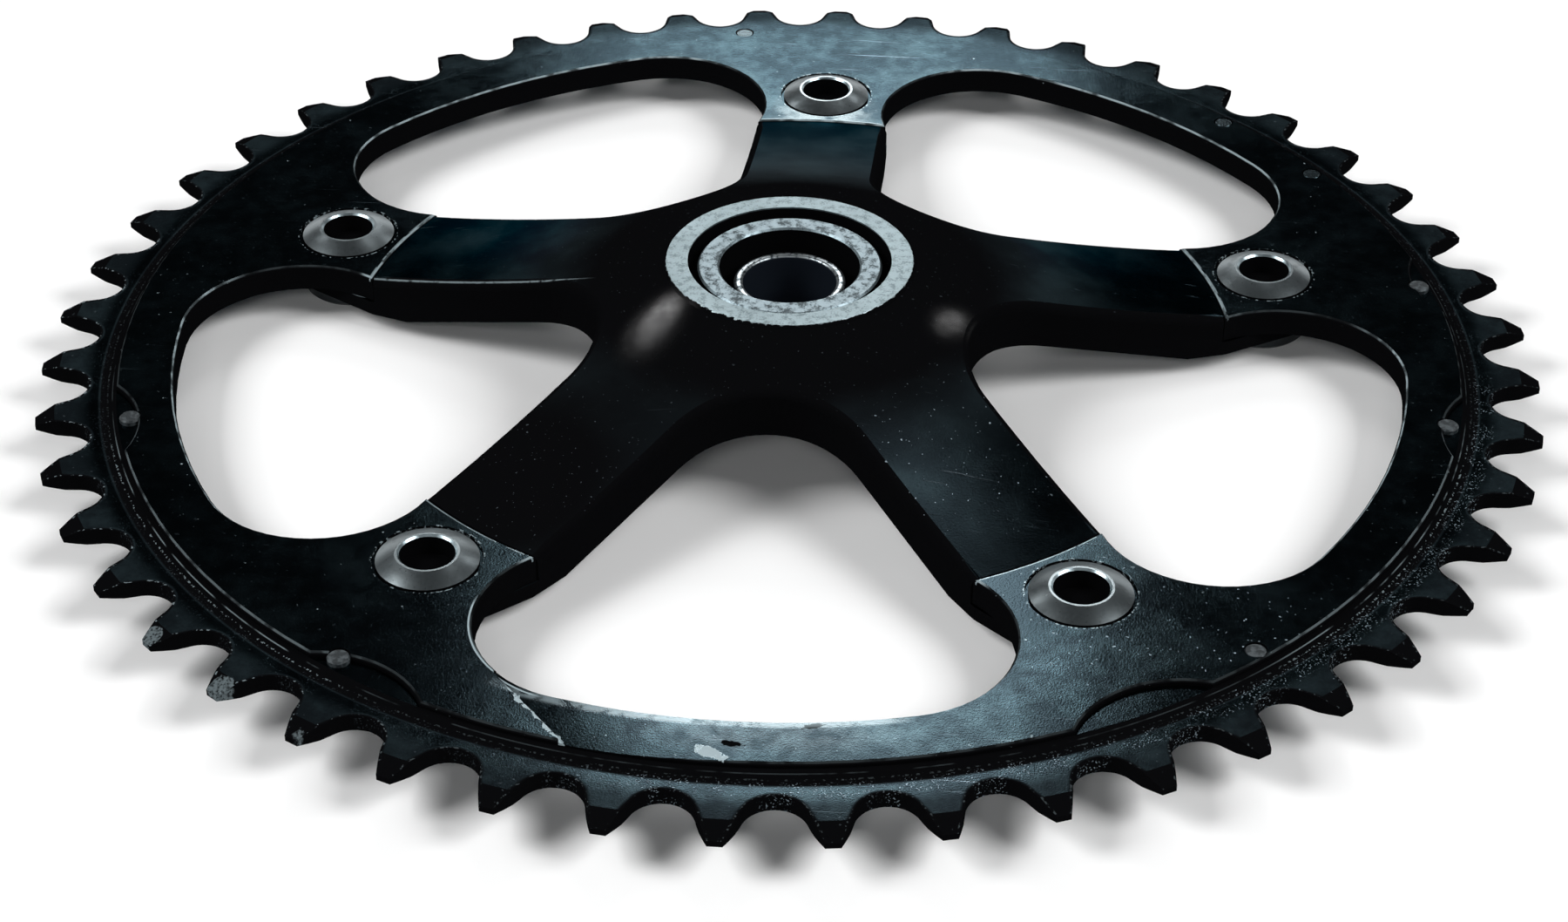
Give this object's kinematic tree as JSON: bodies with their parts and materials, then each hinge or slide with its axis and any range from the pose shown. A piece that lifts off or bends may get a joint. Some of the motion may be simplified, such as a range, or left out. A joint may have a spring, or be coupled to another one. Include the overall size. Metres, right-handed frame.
{
  "type": "bicycle chainring",
  "caption": "Toothed bicycle chainring bolted by its inward tabs to a dished spider with a raised hub that turns it on the crank spindle.",
  "frame": {"origin": "on the spindle axis, in the plane of the bolt heads that it rests on", "axes": "+Z along the spindle axis towards the raised hub face, +Y along the first arm"},
  "size_m": [0.2002, 0.2002, 0.02],
  "materials": {
    "spider_black": "black anodised satin",
    "ring_black": "black anodised satin, worn edges",
    "fastener_steel": "satin",
    "pin_steel": "dull",
    "bare_aluminium": "machined, finely stained",
    "sleeve_steel": "bright turned"
  },
  "bodies": {
    "root": {"spider": "spider_black", "chainring": "ring_black", "chainring_nuts": "fastener_steel", "chainring_bolts": "fastener_steel", "shift_pins": "pin_steel", "hub_bush": "bare_aluminium", "spindle_sleeve": "sleeve_steel"}
  },
  "joints": []
}
